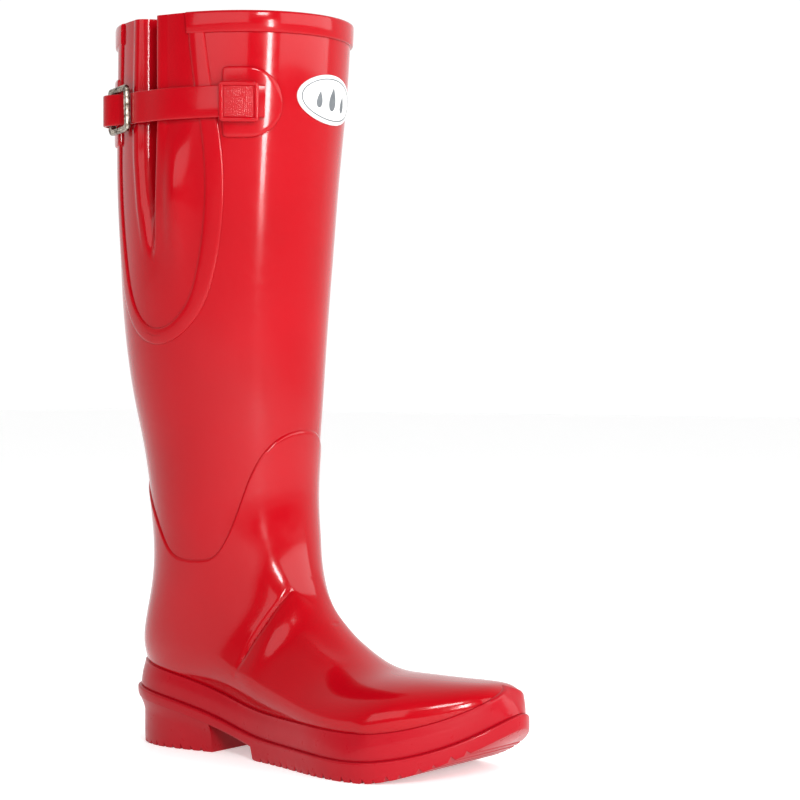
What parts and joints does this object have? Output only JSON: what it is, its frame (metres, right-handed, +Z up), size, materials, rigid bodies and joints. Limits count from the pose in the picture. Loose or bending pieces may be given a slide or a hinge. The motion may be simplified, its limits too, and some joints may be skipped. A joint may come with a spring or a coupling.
{
  "type": "rain boot",
  "caption": "Tall glossy rubber rain boot for a right foot, with a folded gusset, adjusting strap and buckle at the calf, a block heel and a notched sole.",
  "frame": {"origin": "on the floor, under the middle of the boot in plan", "axes": "+X towards the toe, +Y towards the inner side of the foot, +Z up the leg"},
  "size_m": [0.2751, 0.129, 0.423],
  "materials": {
    "red_rubber": "gloss lacquered",
    "sole_rubber": "gloss, moulded",
    "antique_metal": "antiqued casting",
    "pin_steel": "drawn wire",
    "badge_white": "gloss",
    "badge_grey": "matt ink",
    "lining_knit": "knitted",
    "footbed_cloth": "felted",
    "fibre_board": "pressed fibre",
    "stiffener": "matt",
    "filler_foam": "foamed",
    "shank_steel": "rolled strip"
  },
  "bodies": {
    "boot": {"outsole": "sole_rubber", "heel_block": "sole_rubber", "foxing_band": "red_rubber", "shank": "shank_steel", "bottom_filler": "filler_foam", "insole_board": "fibre_board", "cushion_insole": "footbed_cloth", "leg_shell": "red_rubber", "textile_lining": "lining_knit", "toe_puff": "stiffener", "heel_counter": "stiffener", "foot_overlay": "red_rubber", "gusset_panel": "red_rubber", "gusset_trim": "red_rubber", "top_binding": "red_rubber", "strap_anchor_patch": "red_rubber", "buckle_patch": "red_rubber", "strap": "red_rubber", "strap_anchor_loop": "red_rubber", "buckle_chape": "red_rubber", "badge_plate": "badge_white", "badge_print": "badge_grey"},
    "buckle": {"buckle_frame": "antique_metal", "buckle_pin": "pin_steel"},
    "keeper": {"tail_keeper": "red_rubber"}
  },
  "joints": [
    {"name": "buckle_tilt", "type": "hinge", "parent": "boot", "child": "buckle", "pos_m": [-0.10409, -0.05597, 0.3716], "axis": [0.0492, -0.0179, -0.9986], "range_deg": [0, 25]},
    {"name": "keeper_slide", "type": "hinge", "parent": "boot", "child": "keeper", "pos_m": [-0.07938, 0.00008, 0.3723], "axis": [0, 0, 1], "range_deg": [-6, 6]}
  ]
}
